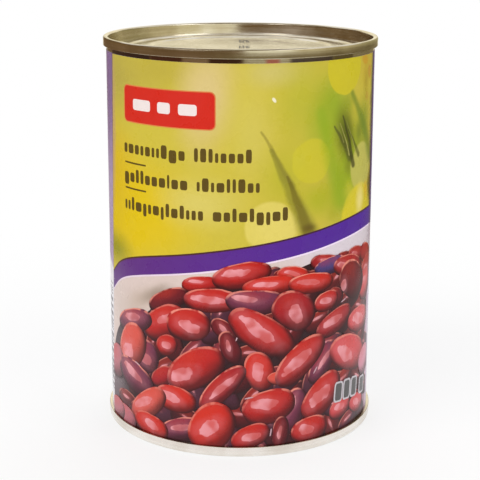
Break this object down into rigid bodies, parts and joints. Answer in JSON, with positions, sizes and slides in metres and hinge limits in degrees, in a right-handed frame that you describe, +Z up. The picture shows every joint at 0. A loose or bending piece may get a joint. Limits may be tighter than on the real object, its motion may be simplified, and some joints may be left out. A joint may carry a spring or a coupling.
{
  "type": "canned beans",
  "caption": "Shut round steel food can of beans with rolled seams, recessed beaded ends and a wrapped paper label printed with fields of colour; it stands upright on its lower seam.",
  "frame": {"origin": "on the can's axis at the plane it stands on, the centre of its lower seam", "axes": "+Z up along the can's axis; the front of the label faces -Y and +X is to the viewer's right"},
  "size_m": [0.076, 0.076, 0.109],
  "materials": {
    "tinplate_wall": "bright tin-plated steel side wall, slightly brushed round the can",
    "tinplate_end": "tin-plated steel end with a thin warm lacquer, satin with soft reflections",
    "label_paper": "gloss-coated printed paper: a soft yellow-green field, a purple band and red beans"
  },
  "bodies": {
    "root": {"body": "tinplate_wall", "top_end": "tinplate_end", "bottom_end": "tinplate_end", "label": "label_paper"}
  },
  "joints": []
}
